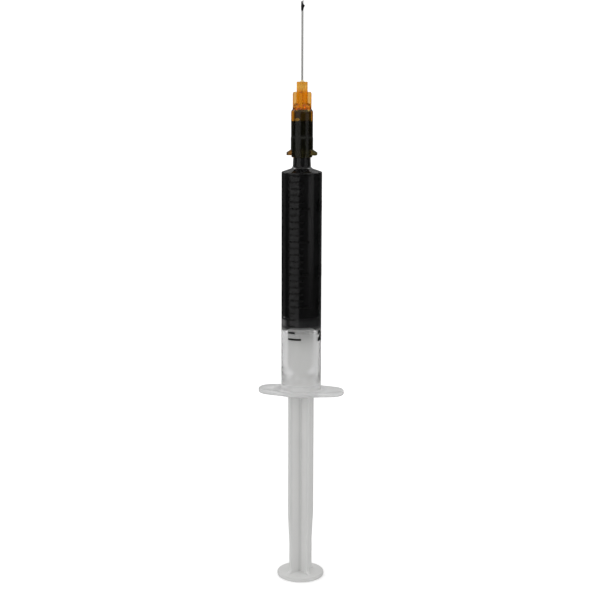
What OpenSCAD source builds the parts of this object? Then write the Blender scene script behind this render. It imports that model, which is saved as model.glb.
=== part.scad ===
// Disposable 2 ml syringe, filled with black epoxy and fitted with a fine dispensing needle.
// It stands on its thumb disc: the origin is the centre of the disc's underside, +Z runs
// along the syringe to the needle's point, and the finger wings lie along X.
// Lengths are millimetres. Angles of the printed scale are counted from -Y towards +X.

/* [Plunger rod] */
// From the thumb disc's underside to the front face of the head that backs the stopper
rod_len = 68.6; // [66:0.2:75]
// Diameter of the thumb disc
thumb_d = 12.4; // [10.5:0.1:15]
// Thickness of the thumb disc
thumb_t = 1.1; // [0.9:0.1:1.6]
// Rounding of the thumb disc's rim
thumb_edge_r = 0.4; // [0.1:0.05:0.4]
// Width across two opposite fins, between the thumb disc and the waist
fin_span = 7.8; // [6.8:0.1:8]
// Width across two opposite fins in front of the waist, where they guide the rod in the bore
front_fin_span = 7.8; // [7.6:0.1:8]
// Thickness of a fin
fin_t = 1; // [0.7:0.05:1.3]
// Width across two opposite fins where they stand on the thumb disc
fin_foot_span = 6.9; // [5:0.1:7]
// From the thumb disc to where the fins start to widen
fin_foot_len = 8.4; // [4:0.2:12]
// From the thumb disc to where they have widened in full
fin_taper_len = 16.4; // [14:0.2:30]
// Rounding where the fins meet the thumb disc
fin_foot_fillet = 0.9; // [0.4:0.1:1.5]
// Radius of the rounded core where the fins cross
fin_core_r = 0.85; // [0.7:0.05:1.1]
// Diameter of the round head that backs the stopper
head_d = 8.1; // [7:0.1:8.2]
// Thickness of that head
head_t = 1; // [0.7:0.1:1.5]
// Width across the fins at the waist, where the rod snaps off
waist_span = 4.4; // [3:0.1:5]
// From the head's front face back to the middle of the waist
waist_back = 13.1; // [8:0.1:13.5]
// Straight length of the waist
waist_len = 0.9; // [0.4:0.1:2]
// Rounding of the fins' corners in front of the waist
waist_front_r = 2.4; // [1.8:0.1:2.8]
// Rounding of the fins' corners behind the waist
waist_rear_r = 2; // [1.8:0.1:2.8]
// Diameter of the stud that carries the stopper
stud_d = 2.6; // [2:0.1:3.2]
// Length of the stud's neck
stud_neck_len = 1.4; // [1:0.1:1.6]
// Diameter of the stud's barb
barb_d = 4; // [3.5:0.1:4.6]
// Length of the barb's straight rim
barb_rim_len = 0.5; // [0.3:0.1:0.8]
// Length of the barb's cone
barb_cone_len = 1.1; // [0.8:0.1:1.3]

/* [Stopper] */
// From the stopper's rear face to the front edge of its front rib
stopper_len = 5.36; // [5.2:0.02:7]
// Length of the rear sealing rib
rear_rib_len = 2.3; // [1:0.1:2.4]
// Length of the front sealing rib
front_rib_len = 1.2; // [0.8:0.1:1.4]
// Depth of the groove between the ribs
seal_groove_depth = 0.45; // [0.2:0.05:0.6]
// How far the flat on the stopper's nose covers the rim of the luer bore, on the radius
nose_land = 0.1; // [0.05:0.05:0.5]

/* [Barrel] */
// Diameter of the bore
bore_d = 8.7; // [8.6:0.1:10]
// Thickness of the tube's wall
barrel_wall = 0.8; // [0.6:0.05:1.1]
// Length of the bore from its open end to the zero line
bore_len = 57.4; // [55:0.2:75]
// From the zero line to the outer edge of the shoulder
front_wall = 0.6; // [0.5:0.05:1]
// Slope of the shoulder, from square to the axis
shoulder_angle = 17.5; // [10:0.5:25]
// Rounding of the shoulder's outer edge
shoulder_edge_r = 0.25; // [0.1:0.05:0.4]
// Rounding where the shoulder runs into the neck
neck_fillet_r = 0.95; // [0.5:0.05:1.1]
// From the shoulder's outer edge to the end of the luer tip
luer_len = 11.5; // [10.6:0.1:14]
// Diameter of the luer tip at its end
luer_tip_d = 3.93; // [3.9:0.01:3.99]
// Bore of the luer tip at its end; it widens backwards as the tip does
luer_bore_d = 2.4; // [1.2:0.1:2.5]
// Height of the bead in the bore that keeps the stopper from leaving
keeper_h = 0.15; // [0.1:0.01:0.15]
// From the bore's open end to that bead
keeper_back = 2.6; // [2:0.1:4]
// Width of the bore's lead-in chamfer
lead_in = 0.3; // [0.1:0.05:0.4]

/* [Finger flange] */
// Distance between the tips of the two wings
flange_span = 22.5; // [19:0.5:28]
// Width across the wings at the barrel
flange_w = 9.2; // [7:0.1:10]
// Radius of a wing's tip
flange_tip_r = 3.4; // [1.5:0.1:4]
// Thickness of the flange
flange_t = 1.3; // [1:0.1:1.8]
// Rounding of the flange's edges
flange_edge_r = 0.45; // [0.2:0.05:0.45]
// Diameter of the round collar between the wings
collar_d = 11.1; // [10.6:0.1:12.5]
// Rounding between the tube and the flange
flange_fillet_r = 0.6; // [0.3:0.05:0.65]

/* [Printed scale] */
// Length of bore that holds one division, 0.1 ml
tick_pitch = 1.682; // [1.3:0.001:1.7]
// Divisions between the zero line and the stopper: 20 is 2 ml
fill_ticks = 20; // [12:1:22]
// Divisions of the nominal scale
nominal_ticks = 20; // [10:5:20]
// Divisions of the whole scale, with its shorter extra lines
scale_ticks = 25; // [25:5:30]
// Divisions from one long line to the next
ticks_per_long = 5; // [5, 10]
// Width of a printed line
tick_w = 0.5; // [0.2:0.02:0.6]
// Thickness of the ink
ink_t = 0.03; // [0.02:0.005:0.05]
// Where every line starts
tick_start_angle = -32; // [-45:1:-25]
// Where the short lines of the nominal scale end
short_end_angle = 14; // [0:1:20]
// Where the long lines of the nominal scale end
long_end_angle = 33; // [25:1:45]
// Where the short extra lines end
extra_short_end_angle = -9.5; // [-20:0.5:-5]
// Where the long extra lines end
extra_long_end_angle = 8.5; // [0:0.5:20]

/* [Needle hub] */
// Length of the luer tip that the hub takes in
luer_grip_len = 7.8; // [7:0.1:8.4]
// Overall length of the hub
hub_len = 18.8; // [17:0.1:24]
// Depth of the hub's luer socket
socket_depth = 9; // [8.6:0.1:9.6]
// Diameter of the hub's body
hub_body_d = 5.52; // [5.4:0.02:5.7]
// Length of the hub's body, from its mouth to the stem
hub_body_len = 12.1; // [11.4:0.1:13]
// Rounding of the body's front edge
hub_body_edge_r = 0.9; // [0.4:0.05:1]
// How far the band at the rear of the body stands out
hub_band_h = 0.05; // [0.03:0.01:0.1]
// From the hub's mouth to the front edge of that band
hub_band_end = 4.9; // [3.5:0.1:6]
// Distance between the tips of the two lugs
lug_span = 7.83; // [7:0.01:8]
// Width of a lug
lug_w = 2.9; // [2:0.1:3.4]
// Thickness of a lug at its tip
lug_tip_t = 0.65; // [0.4:0.05:0.8]
// Thickness of a lug at the body
lug_root_t = 1.4; // [1:0.05:1.8]
// Length of the plain rim behind the lugs
hub_rim_len = 0.5; // [0.2:0.05:0.6]
// How far that rim is smaller than the body, on the radius
hub_rim_in = 0.12; // [0.05:0.01:0.15]
// Diameter of the stem in front of the body
stem_d = 2.62; // [2.4:0.02:3]
// Width across two opposite ribs of the stem
stem_rib_span = 4.66; // [4:0.02:5]
// Thickness of a rib
stem_rib_t = 0.8; // [0.5:0.05:1]
// From the ribs' rounded ends to the hub's front face
stem_rib_back = 2.5; // [1.5:0.1:4]
// Rounding of the ribs' front corners
stem_rib_r = 0.45; // [0.2:0.05:0.5]
// Diameter of the cavity between the socket and the cannula
cavity_d = 2.9; // [2.4:0.1:3.2]
// Length of that cavity, without its cone
cavity_len = 2.8; // [2:0.1:3]
// Length of the cavity's cone
cavity_cone_len = 1.3; // [1:0.1:2]
// Diameter of the well that holds the adhesive
glue_well_d = 1.7; // [1.2:0.1:1.9]
// Depth of that well
glue_well_depth = 1.7; // [1:0.1:2.5]
// Height of the adhesive's fillet above the hub
glue_fillet_h = 0.4; // [0.2:0.05:0.6]

/* [Cannula] */
// Outer diameter of the cannula
cannula_d = 0.51; // [0.4:0.01:0.7]
// Bore of the cannula
cannula_bore_d = 0.26; // [0.15:0.01:0.3]
// Length of the cannula in front of the hub
cannula_reach = 20.2; // [12:0.1:38]
// Length of the cannula's tail inside the cavity's cone
cannula_tail = 0.5; // [0.2:0.05:0.9]
// Length of the ground point
bevel_len = 1.5; // [1:0.1:2.2]
// From the needle's point back to the middle of the dried bead
bead_back = 1.75; // [1.2:0.05:3]
// Diameter of the bead's main drop
bead_d = 0.84; // [0.7:0.02:1.2]
// Length of the bead's main drop
bead_len = 2.7; // [1.6:0.1:3]
// Diameter of the smaller drop on its side
droplet_d = 0.62; // [0.4:0.02:0.8]
// How far each drop sits to its side of the cannula
bead_shift = 0.1; // [0.04:0.01:0.15]

/* [Clearances] */
// Between the stopper's ribs and the bore, on the radius
stopper_gap = 0.02; // [0.01:0.01:0.05]
// Between the stopper's nose and the front wall when it is pushed home
nose_gap = 0.1; // [0.05:0.01:0.2]
// Between the stopper and the bead that keeps it in, at full withdrawal
keeper_gap = 0.2; // [0.1:0.05:0.4]
// Between the stud and the stopper, all round
stud_gap = 0.05; // [0.02:0.01:0.1]
// Between the luer tip and the hub's socket, on the radius
luer_gap = 0.02; // [0.01:0.01:0.05]
// Between the epoxy and the walls that it wets
wet_gap = 0.02; // [0.01:0.01:0.04]
// Between the cannula, its adhesive and the hub
bond_gap = 0.01; // [0.005:0.005:0.02]

/* [Hidden] */
$fn = 96;

// A luer cone loses this share of its length in diameter
luer_taper_share = 0.06;
// Segments of a quarter turn in the outlines below
quarter_steps = 8;
// Every cut runs past its solid by this much
over = 0.2;
// Layers that round the flange's edges
edge_layers = 4;
// The barb's small end, as a share of its diameter
barb_end_share = 0.45;
// The adhesive's fillet reaches this share of the well's radius
glue_reach_share = 0.9;
// The smaller drop's place and length, as shares of the bead's length
droplet_up_share = 0.2;
droplet_len_share = 0.45;
// How far the smaller drop is moved out, as a share of its diameter
droplet_out_share = 0.25;

// Sizes and places that follow from the ones above
bore_r = bore_d / 2;
barrel_r = bore_r + barrel_wall;
mid_wall_r = bore_r + barrel_wall / 2;
stopper_rear_z = rod_len;
rib_edge_z = stopper_rear_z + stopper_len;
zero_z = rib_edge_z + fill_ticks * tick_pitch;
barrel_z = zero_z - bore_len;
slope = tan(shoulder_angle);
front_z = zero_z + nose_gap;
shoulder_z = zero_z + front_wall;
luer_end_z = shoulder_z + luer_len;
luer_tip_r = luer_tip_d / 2;
cone_end_r = luer_bore_r(front_z + (bore_r - luer_bore_r(front_z)) * slope);
cone_end_z = front_z + (bore_r - cone_end_r) * slope;
seal_r = bore_r - stopper_gap;
nose_flat_r = cone_end_r + nose_land;
nose_end_z = rib_edge_z + (seal_r - nose_flat_r) * slope;
keeper_z = barrel_z + keeper_back;
push_travel = zero_z - rib_edge_z;
draw_travel = stopper_rear_z - keeper_z - keeper_h - keeper_gap;

hub_z = luer_end_z - luer_grip_len;
hub_end_z = hub_z + hub_len;
hub_body_r = hub_body_d / 2;
hub_body_end_z = hub_z + hub_body_len;
lug_z = hub_z + hub_rim_len;
socket_end_z = hub_z + socket_depth;
cavity_r = cavity_d / 2;
cavity_end_z = socket_end_z + cavity_len;
cavity_cone_end_z = cavity_end_z + cavity_cone_len;
stem_r = stem_d / 2;
stem_rib_end_z = hub_end_z - stem_rib_back;
cannula_r = cannula_d / 2;
cannula_hole_r = cannula_r + bond_gap;
cannula_z = cavity_cone_end_z - cannula_tail;
cannula_end_z = hub_end_z + cannula_reach;
bead_z = cannula_end_z - bead_back;
droplet_x = bead_shift + droplet_d * droplet_out_share;

echo(push_travel = push_travel, draw_travel = draw_travel, barrel_z = barrel_z);
echo(shoulder_z = shoulder_z, hub_z = hub_z, cannula_end_z = cannula_end_z);

// Radius of the luer tip at a height, which grows towards the barrel, and radius of its bore
function luer_r(z) = luer_tip_r + (luer_end_z - z) * luer_taper_share / 2;
function luer_bore_r(z) = luer_r(z) - luer_tip_r + luer_bore_d / 2;

// Points of an arc about a centre, from one angle to another
function arc(centre, radius, from, to, steps = quarter_steps) = [
    for (i = [0 : steps])
        centre + radius * [
            cos(from + (to - from) * i / steps),
            sin(from + (to - from) * i / steps)
        ]
];

// Outline of both wings, drawn in from its edge by inset: two wide arcs and two round tips
wing_half_w = flange_w / 2;
wing_tip_x = flange_span / 2 - flange_tip_r;
wing_side_r = (pow(wing_tip_x, 2) + pow(wing_half_w, 2) - pow(flange_tip_r, 2))
    / (2 * (wing_half_w - flange_tip_r));
wing_side_y = wing_side_r - wing_half_w;
wing_side_angle = atan(wing_tip_x / wing_side_y);
function wing_outline(inset) = concat(
    arc([0, -wing_side_y], wing_side_r - inset, 90 + wing_side_angle, 90 - wing_side_angle),
    arc([wing_tip_x, 0], flange_tip_r - inset, 90 - wing_side_angle, wing_side_angle - 90),
    arc([0, wing_side_y], wing_side_r - inset, wing_side_angle - 90, -90 - wing_side_angle),
    arc([-wing_tip_x, 0], flange_tip_r - inset, 270 - wing_side_angle, 90 + wing_side_angle)
);

// Section of the tube, its shoulder, neck and luer tip, from the axis outwards
neck_corner_r = luer_r(shoulder_z + (barrel_r - luer_r(shoulder_z)) * slope);
neck_corner_z = shoulder_z + (barrel_r - neck_corner_r) * slope;
fillet_reach = neck_fillet_r * tan((90 - shoulder_angle) / 2);
fillet_centre = [neck_corner_r + neck_fillet_r, neck_corner_z + fillet_reach];
shoulder_edge_centre = [barrel_r - shoulder_edge_r, shoulder_z - shoulder_edge_r];
function barrel_outline() = concat(
    [
        [bore_r + lead_in, barrel_z],
        [barrel_r, barrel_z]
    ],
    arc(shoulder_edge_centre, shoulder_edge_r, 0, 90 - shoulder_angle),
    arc(fillet_centre, neck_fillet_r, 270 - shoulder_angle, 180),
    [
        [luer_tip_r, luer_end_z],
        [luer_bore_r(luer_end_z), luer_end_z],
        [cone_end_r, cone_end_z],
        [bore_r, front_z],
        [bore_r, keeper_z + keeper_h],
        [bore_r - keeper_h, keeper_z],
        [bore_r, keeper_z - keeper_h],
        [bore_r, barrel_z + lead_in]
    ]
);

// Round collar that joins the wings to the tube
module flange_collar() {
    collar_r = collar_d / 2;
    rotate_extrude()
        polygon(concat(
            [[mid_wall_r, barrel_z]],
            arc([collar_r - flange_edge_r, barrel_z + flange_edge_r], flange_edge_r, -90, 0),
            arc([collar_r - flange_edge_r, barrel_z + flange_t - flange_edge_r], flange_edge_r, 0, 90),
            [[mid_wall_r, barrel_z + flange_t]]
        ));
}

// Both wings as one plate with rounded edges
module flange_wings() {
    difference() {
        hull()
            for (i = [0 : edge_layers]) {
                rise = flange_edge_r * sin(90 * i / edge_layers);
                inset = flange_edge_r * (1 - cos(90 * i / edge_layers));
                translate([0, 0, barrel_z + flange_edge_r - rise])
                    linear_extrude(flange_t - 2 * (flange_edge_r - rise))
                        polygon(wing_outline(inset));
            }
        translate([0, 0, barrel_z - over])
            cylinder(r = mid_wall_r, h = flange_t + 2 * over);
    }
}

// Fillet between the tube and the flange, kept to the flange's own outline
module flange_fillet() {
    base_z = barrel_z + flange_t;
    reach = barrel_r + flange_fillet_r;
    intersection() {
        rotate_extrude()
            polygon(concat(
                [
                    [mid_wall_r, base_z + flange_fillet_r],
                    [mid_wall_r, base_z - flange_edge_r],
                    [reach, base_z - flange_edge_r]
                ],
                arc([reach, base_z + flange_fillet_r], flange_fillet_r, 270, 180)
            ));
        translate([0, 0, barrel_z])
            linear_extrude(flange_t + flange_fillet_r + over)
                union() {
                    polygon(wing_outline(flange_edge_r));
                    circle(d = collar_d - 2 * flange_edge_r);
                }
    }
}

module barrel() {
    color([0.86, 0.87, 0.87, 0.45])
        union() {
            rotate_extrude() polygon(barrel_outline());
            flange_collar();
            flange_wings();
            flange_fillet();
        }
}

// One printed line at a division, between two angles round the tube
module tick(index, end_angle) {
    rotate([0, 0, tick_start_angle - 90])
        rotate_extrude(angle = end_angle - tick_start_angle)
            translate([barrel_r, zero_z - index * tick_pitch - tick_w / 2])
                square([ink_t, tick_w]);
}

module scale_marks() {
    color([0.06, 0.06, 0.06])
        for (i = [0 : scale_ticks]) {
            is_long = i % ticks_per_long == 0;
            nominal_end = is_long ? long_end_angle : short_end_angle;
            extra_end = is_long ? extra_long_end_angle : extra_short_end_angle;
            tick(i, i <= nominal_ticks ? nominal_end : extra_end);
        }
}

// The epoxy in the bore, between the stopper's nose and the barrel's front cone
module epoxy_column() {
    wet_r = bore_r - wet_gap;
    color([0.05, 0.05, 0.055])
        rotate_extrude()
            polygon([
                [0, nose_end_z + wet_gap],
                [nose_flat_r, nose_end_z + wet_gap],
                [wet_r, rib_edge_z + wet_gap],
                [wet_r, front_z - wet_gap],
                [cone_end_r, cone_end_z - wet_gap],
                [0, cone_end_z - wet_gap]
            ]);
}

// The epoxy in the luer tip's bore
module tip_epoxy() {
    color([0.05, 0.05, 0.055])
        translate([0, 0, cone_end_z])
            cylinder(
                r1 = cone_end_r - wet_gap,
                r2 = luer_bore_r(luer_end_z) - wet_gap,
                h = luer_end_z - cone_end_z
            );
}

// Section of the stopper: two sealing ribs, a groove, a cone and the socket for the stud
function stopper_outline() = [
    [stud_d / 2 + stud_gap, stopper_rear_z],
    [seal_r, stopper_rear_z],
    [seal_r, stopper_rear_z + rear_rib_len],
    [seal_r - seal_groove_depth, stopper_rear_z + rear_rib_len + seal_groove_depth],
    [seal_r - seal_groove_depth, rib_edge_z - front_rib_len - seal_groove_depth],
    [seal_r, rib_edge_z - front_rib_len],
    [seal_r, rib_edge_z],
    [nose_flat_r, nose_end_z],
    [0, nose_end_z],
    [0, barb_end_z + stud_gap],
    [barb_end_r + stud_gap, barb_end_z + stud_gap],
    [barb_r + stud_gap, barb_rim_z + stud_gap],
    [barb_r + stud_gap, barb_z - stud_gap],
    [stud_d / 2 + stud_gap, barb_z - stud_gap]
];

module rubber_stopper() {
    color([0.2, 0.2, 0.21])
        rotate_extrude() polygon(stopper_outline());
}

// The stud on the rod's head: a neck and a barb that snaps into the stopper
barb_r = barb_d / 2;
barb_end_r = barb_r * barb_end_share;
barb_z = stopper_rear_z + stud_neck_len;
barb_rim_z = barb_z + barb_rim_len;
barb_end_z = barb_rim_z + barb_cone_len;
module stopper_stud() {
    rotate_extrude()
        polygon([
            [0, stopper_rear_z - head_t / 2],
            [stud_d / 2, stopper_rear_z - head_t / 2],
            [stud_d / 2, barb_z],
            [barb_r, barb_z],
            [barb_r, barb_rim_z],
            [barb_end_r, barb_end_z],
            [0, barb_end_z]
        ]);
}

// Half the outline that all four fins share: a foot, a taper, the waist and the front stretch
fin_r = fin_span / 2;
front_fin_r = front_fin_span / 2;
fin_foot_r = fin_foot_span / 2;
waist_r = waist_span / 2;
waist_z = rod_len - waist_back;
waist_front_z = waist_z + waist_len / 2 + waist_front_r;
waist_rear_z = waist_z - waist_len / 2 - waist_rear_r;
// Angle at which a corner's arc, drawn in from a fin's edge, meets the waist
function waist_angle(edge_r, corner_r) = acos((waist_r - edge_r + corner_r) / corner_r);
function fin_outline() = concat(
    [
        [0, thumb_t / 2],
        [fin_foot_r + fin_foot_fillet, thumb_t / 2]
    ],
    arc([fin_foot_r + fin_foot_fillet, thumb_t + fin_foot_fillet], fin_foot_fillet, 270, 180),
    [
        [fin_foot_r, thumb_t + fin_foot_len],
        [fin_r, thumb_t + fin_taper_len]
    ],
    arc([fin_r - waist_rear_r, waist_rear_z], waist_rear_r, 0, waist_angle(fin_r, waist_rear_r)),
    arc(
        [front_fin_r - waist_front_r, waist_front_z],
        waist_front_r, -waist_angle(front_fin_r, waist_front_r), 0
    ),
    [
        [front_fin_r, rod_len - head_t / 2],
        [0, rod_len - head_t / 2]
    ]
);

module thumb_disc() {
    rim_r = thumb_d / 2 - thumb_edge_r;
    rotate_extrude()
        polygon(concat(
            [[0, 0]],
            arc([rim_r, thumb_edge_r], thumb_edge_r, -90, 0),
            arc([rim_r, thumb_t - thumb_edge_r], thumb_edge_r, 0, 90),
            [[0, thumb_t]]
        ));
}

module rod_fins() {
    fin_room = 2 * (fin_foot_r + fin_foot_fillet) + over;
    intersection() {
        rotate_extrude() polygon(fin_outline());
        rotate([0, 0, 45])
            linear_extrude(rod_len)
                union() {
                    square([fin_room, fin_t], center = true);
                    square([fin_t, fin_room], center = true);
                    circle(r = fin_core_r);
                }
    }
}

module plunger_rod() {
    color([0.8, 0.8, 0.8, 0.85])
        union() {
            thumb_disc();
            rod_fins();
            translate([0, 0, rod_len - head_t])
                cylinder(d = head_d, h = head_t);
            stopper_stud();
        }
}

// Outer section of the hub, from its mouth to its front face
function hub_outline() = concat(
    [
        [0, hub_z],
        [hub_body_r - hub_rim_in, hub_z],
        [hub_body_r - hub_rim_in, lug_z],
        [hub_body_r + hub_band_h, lug_z],
        [hub_body_r + hub_band_h, hub_z + hub_band_end],
        [hub_body_r, hub_z + hub_band_end]
    ],
    arc([hub_body_r - hub_body_edge_r, hub_body_end_z - hub_body_edge_r], hub_body_edge_r, 0, 90),
    [
        [stem_r, hub_body_end_z],
        [stem_r, hub_end_z],
        [0, hub_end_z]
    ]
);

// Hollow of the hub: the luer socket, the cavity, its cone, the cannula's hole and the well
function hub_hollow() = [
    [0, hub_z - over],
    [luer_r(hub_z - over) + luer_gap, hub_z - over],
    [luer_r(socket_end_z) + luer_gap, socket_end_z],
    [cavity_r, socket_end_z],
    [cavity_r, cavity_end_z],
    [cannula_hole_r, cavity_cone_end_z],
    [cannula_hole_r, hub_end_z - glue_well_depth],
    [glue_well_d / 2, hub_end_z - glue_well_depth],
    [glue_well_d / 2, hub_end_z + over],
    [0, hub_end_z + over]
];

// A pair of opposite ribs on the stem
module stem_rib_pair() {
    rib_r = stem_rib_span / 2;
    rotate([90, 0, 0])
        linear_extrude(stem_rib_t, center = true)
            polygon(concat(
                [
                    [-rib_r, hub_body_end_z - hub_body_edge_r],
                    [rib_r, hub_body_end_z - hub_body_edge_r]
                ],
                arc([rib_r - stem_rib_r, stem_rib_end_z - stem_rib_r], stem_rib_r, 0, 90),
                arc([stem_rib_r - rib_r, stem_rib_end_z - stem_rib_r], stem_rib_r, 90, 180)
            ));
}

// Both luer lugs: a bar with sloped tops, trimmed round at its tips
module hub_lugs() {
    lug_r = lug_span / 2;
    intersection() {
        rotate([90, 0, 0])
            linear_extrude(lug_w, center = true)
                polygon([
                    [-lug_r, lug_z],
                    [lug_r, lug_z],
                    [lug_r, lug_z + lug_tip_t],
                    [hub_body_r, lug_z + lug_root_t],
                    [-hub_body_r, lug_z + lug_root_t],
                    [-lug_r, lug_z + lug_tip_t]
                ]);
        translate([0, 0, lug_z - over])
            cylinder(r = lug_r, h = lug_root_t + 2 * over);
    }
}

module needle_hub() {
    color([0.87, 0.55, 0.1, 0.7])
        difference() {
            union() {
                rotate_extrude() polygon(hub_outline());
                stem_rib_pair();
                rotate([0, 0, 90]) stem_rib_pair();
                hub_lugs();
            }
            rotate_extrude() polygon(hub_hollow());
        }
}

// The epoxy in the hub: it fills the cavity, its cone and the socket in front of the luer tip
module hub_epoxy() {
    socket_front_r = luer_r(socket_end_z) + luer_gap - wet_gap;
    cone_stop_z = cannula_z - wet_gap;
    cone_share = (cavity_cone_end_z - cone_stop_z) / cavity_cone_len;
    cone_stop_r = cannula_hole_r + (cavity_r - cannula_hole_r) * cone_share;
    color([0.05, 0.05, 0.055])
        rotate_extrude()
            polygon([
                [0, luer_end_z + wet_gap],
                [luer_tip_r, luer_end_z + wet_gap],
                [socket_front_r, socket_end_z - wet_gap],
                [cavity_r - wet_gap, socket_end_z - wet_gap],
                [cavity_r - wet_gap, cavity_end_z - wet_gap],
                [cone_stop_r - wet_gap, cone_stop_z],
                [0, cone_stop_z]
            ]);
}

// The clear adhesive that fills the well round the cannula and rises in a small fillet
module hub_adhesive() {
    color([0.93, 0.78, 0.42, 0.8])
        rotate_extrude()
            polygon([
                [cannula_r + bond_gap, hub_end_z - glue_well_depth + bond_gap],
                [glue_well_d / 2 - bond_gap, hub_end_z - glue_well_depth + bond_gap],
                [glue_well_d / 2 - bond_gap, hub_end_z],
                [glue_well_d / 2 * glue_reach_share, hub_end_z + bond_gap],
                [cannula_r + 2 * bond_gap, hub_end_z + glue_fillet_h],
                [cannula_r + bond_gap, hub_end_z + glue_fillet_h]
            ]);
}

module needle_cannula() {
    color([0.62, 0.62, 0.61])
        difference() {
            translate([0, 0, cannula_z])
                cylinder(r = cannula_r, h = cannula_end_z - cannula_z);
            translate([0, 0, cannula_z - over])
                cylinder(d = cannula_bore_d, h = cannula_end_z - cannula_z + 2 * over);
            // The ground point: a slanted cut that leaves its tip on the +X side
            translate([cannula_r, 0, cannula_end_z])
                rotate([0, atan(cannula_d / bevel_len), 0])
                    translate([-2 * cannula_d, -cannula_d, -bevel_len - cannula_d])
                        cube([2 * cannula_d, 2 * cannula_d, 2 * (bevel_len + cannula_d)]);
        }
}

// A drop of a given diameter and length, as an egg-shaped turned solid
module drop(diameter, length) {
    steps = 2 * quarter_steps;
    rotate_extrude()
        polygon([
            for (i = [0 : steps])
                [
                    diameter / 2 * sin(180 * i / steps),
                    -length / 2 * cos(180 * i / steps)
                ]
        ]);
}

module epoxy_bead() {
    color([0.05, 0.05, 0.055])
        difference() {
            union() {
                translate([-bead_shift, 0, bead_z])
                    drop(bead_d, bead_len);
                translate([droplet_x, 0, bead_z + bead_len * droplet_up_share])
                    drop(droplet_d, bead_len * droplet_len_share);
            }
            translate([0, 0, bead_z - bead_len])
                cylinder(r = cannula_hole_r, h = 2 * bead_len);
        }
}

barrel();
scale_marks();
epoxy_column();
tip_epoxy();
rubber_stopper();
plunger_rod();
needle_hub();
hub_epoxy();
hub_adhesive();
needle_cannula();
epoxy_bead();
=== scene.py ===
import math

import bpy
import numpy as np
from mathutils import Matrix, Vector


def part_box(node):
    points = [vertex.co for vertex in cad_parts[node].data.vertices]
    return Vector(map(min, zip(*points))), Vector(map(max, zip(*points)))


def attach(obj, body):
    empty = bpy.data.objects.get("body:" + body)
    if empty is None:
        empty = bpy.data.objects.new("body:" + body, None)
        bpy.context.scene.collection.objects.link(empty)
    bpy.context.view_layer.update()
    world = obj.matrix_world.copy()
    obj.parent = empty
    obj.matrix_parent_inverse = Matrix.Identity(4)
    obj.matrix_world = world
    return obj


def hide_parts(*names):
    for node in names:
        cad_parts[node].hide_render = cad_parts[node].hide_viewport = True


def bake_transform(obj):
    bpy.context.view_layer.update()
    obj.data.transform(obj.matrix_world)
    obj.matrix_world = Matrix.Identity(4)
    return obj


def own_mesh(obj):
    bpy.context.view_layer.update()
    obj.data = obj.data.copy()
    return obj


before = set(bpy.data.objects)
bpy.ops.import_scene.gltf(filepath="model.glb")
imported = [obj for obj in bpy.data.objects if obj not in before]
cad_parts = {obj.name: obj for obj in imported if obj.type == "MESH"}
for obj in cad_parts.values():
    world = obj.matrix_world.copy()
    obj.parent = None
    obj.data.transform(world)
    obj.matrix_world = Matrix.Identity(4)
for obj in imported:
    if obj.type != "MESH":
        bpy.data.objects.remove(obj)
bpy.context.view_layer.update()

# Everything below is worked out in millimetres, in the CAD frame, and put into the meshes in metres
MM = 0.001
TAU = 2 * math.pi


def low(node, axis):
    """Lowest coordinate of a CAD node along an axis, in mm."""
    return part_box(node)[0][axis] / MM


def high(node, axis):
    """Highest coordinate of a CAD node along an axis, in mm."""
    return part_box(node)[1][axis] / MM


# Places that the frame gives
X, Y, Z = 0, 1, 2
BARREL_Z = low("barrel", Z)
LUER_END_Z = high("barrel", Z)
FLANGE_TIP_X = high("barrel", X)
COLLAR_R = high("barrel", Y)
ROD_LEN = low("rubber_stopper", Z)
THUMB_R = high("plunger_rod", X)
HUB_Z = low("needle_hub", Z)
HUB_END_Z = high("needle_hub", Z)
LUG_R = high("needle_hub", X)
CANNULA_Z = low("needle_cannula", Z)
CANNULA_END_Z = high("needle_cannula", Z)
CANNULA_R = high("needle_cannula", Y)
COLUMN_TOP_Z = high("epoxy_column", Z)

# Sizes that the frame doesn't give, as in the CAD source
BORE_R = 4.35
BARREL_R = 5.15
STOPPER_LEN = 5.36
TICK_PITCH = 1.682
FILL_TICKS = 20
NOMINAL_TICKS = 20
SCALE_TICKS = 25
TICKS_PER_LONG = 5
FRONT_WALL = 0.6
NOSE_GAP = 0.1
SLOPE = math.tan(math.radians(17.5))
LUER_TIP_R = 1.965
LUER_BORE_R = 1.2
LUER_TAPER = 0.03
FLANGE_T = 1.3
FLANGE_TOP_Z = BARREL_Z + FLANGE_T
WING_HALF_W = 4.6
WING_TIP_R = 3.4
THUMB_EDGE_Z = 1.2
REAR_RIB_LEN = 2.3
RIB_EDGE_Z = ROD_LEN + STOPPER_LEN
ZERO_Z = RIB_EDGE_Z + FILL_TICKS * TICK_PITCH
SHOULDER_Z = ZERO_Z + FRONT_WALL
FRONT_Z = ZERO_Z + NOSE_GAP
SOCKET_END_Z = HUB_Z + 9.0
CAVITY_END_Z = SOCKET_END_Z + 2.8
WELL_Z = HUB_END_Z - 1.7
SOCKET_GAP = 0.02
HUB_R, HUB_BAND_H, HUB_BAND_END = 2.76, 0.05, 4.9
HUB_BODY_END_Z = HUB_Z + 12.1
LUG_Z = HUB_Z + 0.5
LUG_HALF_W, LUG_TIP_T, LUG_SLOPE_H = 1.45, 0.65, 0.75
LUG_END_Z = LUG_Z + LUG_TIP_T + LUG_SLOPE_H
STEM_RIB_R, STEM_RIB_HALF_T = 2.33, 0.4
STEM_R = 1.38  # a little more than in the CAD source
CAVITY_R = 1.45
CAVITY_SHIFT = 0.12  # not in the CAD source, where the cavity is centred


def luer_r(height):
    """Radius of the luer tip at a height."""
    return LUER_TIP_R + (LUER_END_Z - height) * LUER_TAPER


def luer_bore_r(height):
    """Radius of the luer tip's bore, which widens as the tip does."""
    return LUER_BORE_R + (LUER_END_Z - height) * LUER_TAPER


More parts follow.
